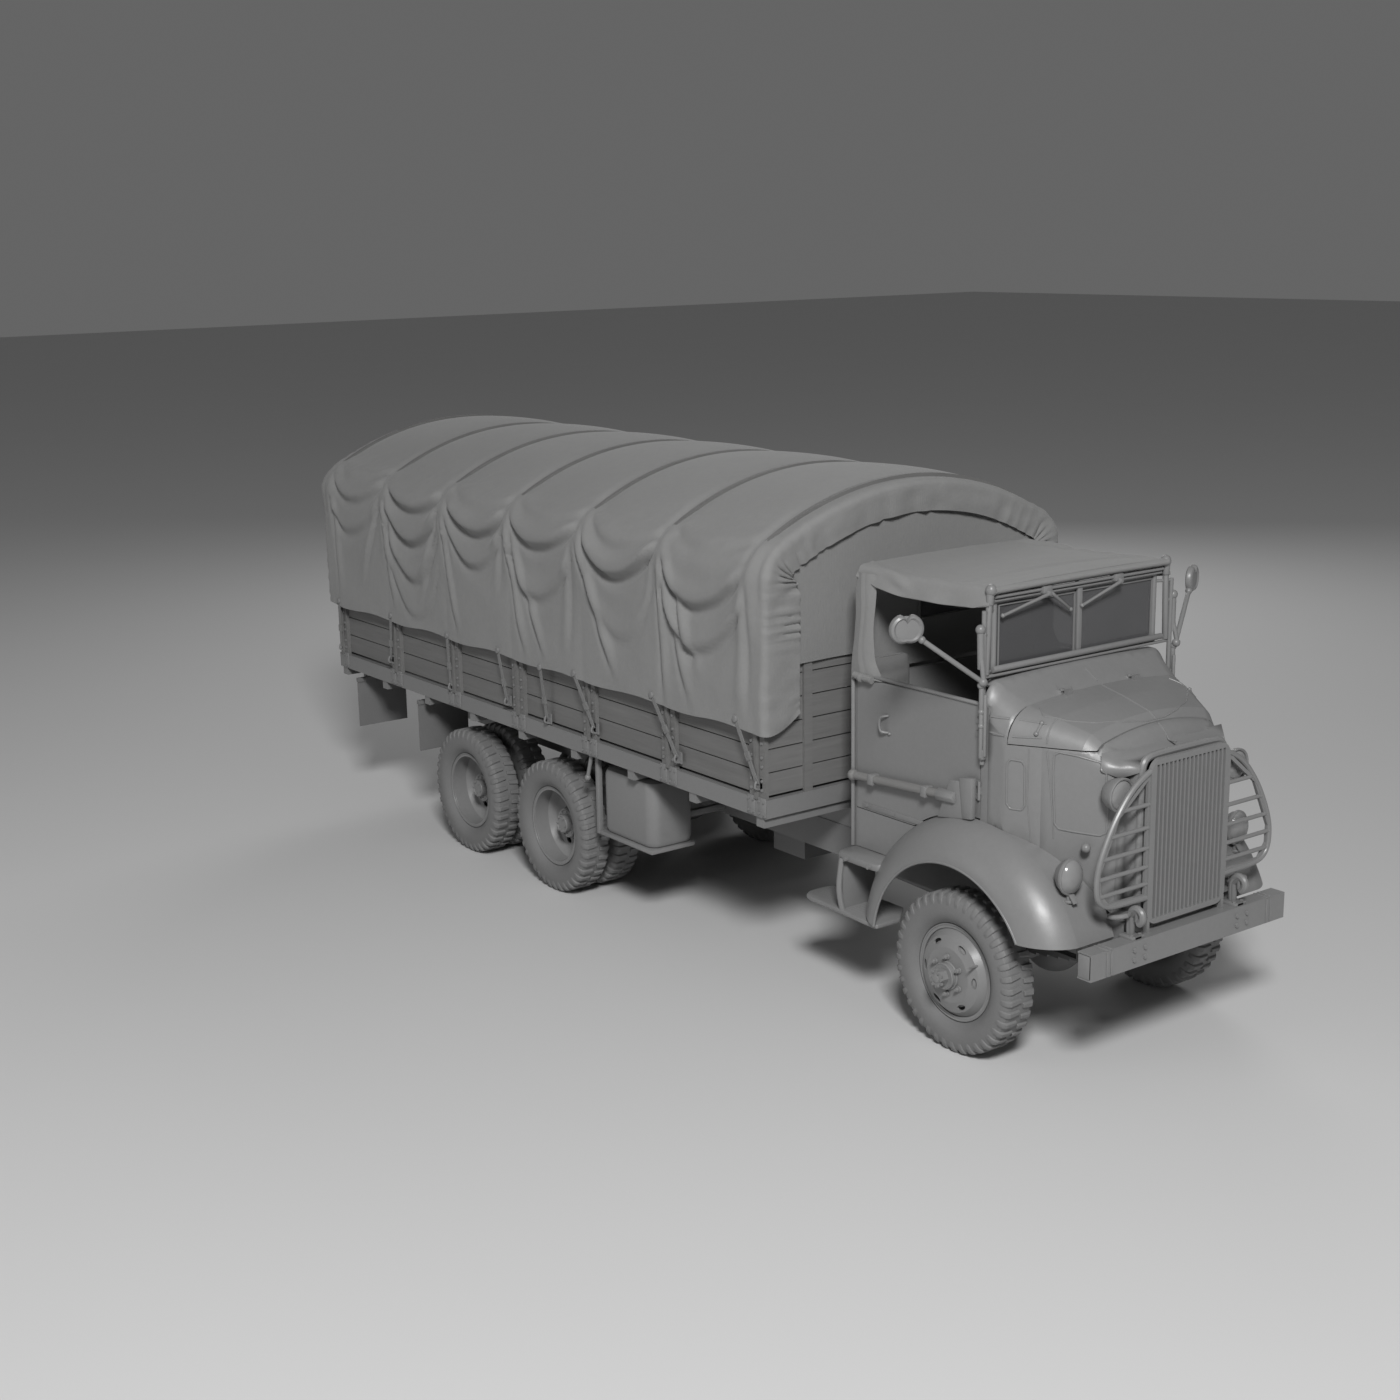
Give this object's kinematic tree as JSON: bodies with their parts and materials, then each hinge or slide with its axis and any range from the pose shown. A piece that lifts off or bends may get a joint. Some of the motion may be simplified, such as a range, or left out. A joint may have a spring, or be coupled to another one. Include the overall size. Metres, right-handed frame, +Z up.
{
  "type": "military cargo truck",
  "caption": "Cab-over six-wheel-drive cargo truck with soft cab top, planked cargo body under a canvas cover, brush guard, steered front wheels, opening doors, tailgate and bonnet lid.",
  "frame": {"origin": "on the ground under the middle of the overall box", "axes": "+X forward, +Y to the driver's left, +Z up"},
  "size_m": [7.494, 2.28, 2.925],
  "materials": {
    "painted_steel": "matt grey paint",
    "chassis_steel": "matt dark grey paint",
    "tyre_rubber": "matt moulded rubber",
    "flap_rubber": "matt sheet rubber",
    "canvas": "woven canvas",
    "seat_cover": "coated seat cloth",
    "rack_wood": "painted planks",
    "tool_handle": "bare wood and steel",
    "glass": "clear window glass"
  },
  "bodies": {
    "root": {"body_frame": "painted_steel", "bogie_springs": "chassis_steel", "brush_guard": "painted_steel", "cab_shell": "painted_steel", "cab_steps": "painted_steel", "cab_top": "canvas", "canvas_cover": "canvas", "cargo_floor": "rack_wood", "chassis_frame": "chassis_steel", "cowl": "painted_steel", "dashboard": "painted_steel", "engine_and_gearbox": "chassis_steel", "engine_cover": "painted_steel", "fenders": "painted_steel", "front_axle_housing": "chassis_steel", "front_bumper": "painted_steel", "front_rack": "rack_wood", "front_springs": "chassis_steel", "fuel_tank": "painted_steel", "headlamps": "painted_steel", "marker_lamps": "painted_steel", "mirrors": "painted_steel", "nose": "painted_steel", "propeller_shafts": "chassis_steel", "radiator": "chassis_steel", "rear_axle_housings": "chassis_steel", "seat_boxes": "painted_steel", "seat_cushions": "seat_cover", "side_racks": "rack_wood", "splash_flaps": "flap_rubber", "steering_column": "chassis_steel", "tail_lamps": "painted_steel", "tilt_bows": "rack_wood", "tool_locker": "painted_steel", "tow_fittings": "chassis_steel", "transfer_case": "chassis_steel", "windscreen_frame": "painted_steel", "windscreen_glass": "glass"},
    "knuckle_left": {"knuckle_left": "chassis_steel"},
    "knuckle_right": {"knuckle_right": "chassis_steel"},
    "tie_rod": {"tie_rod": "chassis_steel"},
    "wheel_front_left": {"front_tyre_left": "tyre_rubber", "front_wheel_disc_left": "painted_steel"},
    "wheel_front_right": {"front_tyre_right": "tyre_rubber", "front_wheel_disc_right": "painted_steel"},
    "steering_wheel": {"steering_wheel": "chassis_steel"},
    "door_left": {"door_left": "painted_steel"},
    "door_right": {"door_right": "painted_steel", "pioneer_axe": "tool_handle"},
    "tailgate": {"tailgate": "rack_wood"},
    "bonnet_lid": {"bonnet_lid": "painted_steel"},
    "twin_wheel_front_left": {"twin_tyres_front_left": "tyre_rubber", "twin_wheel_discs_front_left": "painted_steel"},
    "twin_wheel_front_right": {"twin_tyres_front_right": "tyre_rubber", "twin_wheel_discs_front_right": "painted_steel"},
    "twin_wheel_rear_left": {"twin_tyres_rear_left": "tyre_rubber", "twin_wheel_discs_rear_left": "painted_steel"},
    "twin_wheel_rear_right": {"twin_tyres_rear_right": "tyre_rubber", "twin_wheel_discs_rear_right": "painted_steel"}
  },
  "joints": [
    {"name": "steer_left", "type": "hinge", "parent": "root", "child": "knuckle_left", "pos_m": [2.853, 0.625, 0.445], "axis": [0, 0, 1], "range_deg": [-27, 27]},
    {"name": "steer_right", "type": "hinge", "parent": "root", "child": "knuckle_right", "pos_m": [2.853, -0.625, 0.445], "axis": [0, 0, 1], "range_deg": [-27.5, 27.5]},
    {"name": "tie_rod_travel", "type": "slide", "parent": "root", "child": "tie_rod", "axis": [0, 1, 0], "range_m": [-0.09, 0.09]},
    {"name": "steering_wheel_turn", "type": "hinge", "parent": "root", "child": "steering_wheel", "pos_m": [2.553, 0.415, 1.8], "axis": [-0.5805, 0, 0.8143], "range_deg": [-490, 490]},
    {"name": "front_wheel_roll_left", "type": "hinge", "parent": "knuckle_left", "child": "wheel_front_left", "pos_m": [2.853, 0.76, 0.445], "axis": [0, 1, 0], "continuous": true},
    {"name": "front_wheel_roll_right", "type": "hinge", "parent": "knuckle_right", "child": "wheel_front_right", "pos_m": [2.853, -0.76, 0.445], "axis": [0, 1, 0], "continuous": true},
    {"name": "rear_wheel_roll_front_left", "type": "hinge", "parent": "root", "child": "twin_wheel_front_left", "pos_m": [-0.7565, 0.858, 0.445], "axis": [0, 1, 0], "continuous": true},
    {"name": "rear_wheel_roll_front_right", "type": "hinge", "parent": "root", "child": "twin_wheel_front_right", "pos_m": [-0.7565, -0.858, 0.445], "axis": [0, 1, 0], "continuous": true},
    {"name": "rear_wheel_roll_rear_left", "type": "hinge", "parent": "root", "child": "twin_wheel_rear_left", "pos_m": [-1.8695, 0.858, 0.445], "axis": [0, 1, 0], "continuous": true},
    {"name": "rear_wheel_roll_rear_right", "type": "hinge", "parent": "root", "child": "twin_wheel_rear_right", "pos_m": [-1.8695, -0.858, 0.445], "axis": [0, 1, 0], "continuous": true},
    {"name": "door_left_hinge", "type": "hinge", "parent": "root", "child": "door_left", "pos_m": [2.897, 0.7085, 1.5], "axis": [0, 0, -1], "range_deg": [0, 70]},
    {"name": "door_right_hinge", "type": "hinge", "parent": "root", "child": "door_right", "pos_m": [2.897, -0.7085, 1.5], "axis": [0, 0, 1], "range_deg": [0, 70]},
    {"name": "tailgate_hinge", "type": "hinge", "parent": "root", "child": "tailgate", "pos_m": [-3.696, 0, 1.162], "axis": [0, -1, 0], "range_deg": [0, 170]},
    {"name": "bonnet_hinge", "type": "hinge", "parent": "root", "child": "bonnet_lid", "pos_m": [3.07, 0, 1.946], "axis": [0, -1, 0], "range_deg": [0, 50]}
  ],
  "couplings": [
    {"joint": "steer_right", "follows": "steer_left", "ratio": 1},
    {"joint": "tie_rod_travel", "follows": "steer_left", "m_per_rad": -0.185},
    {"joint": "steering_wheel_turn", "follows": "steer_left", "ratio": 18}
  ]
}
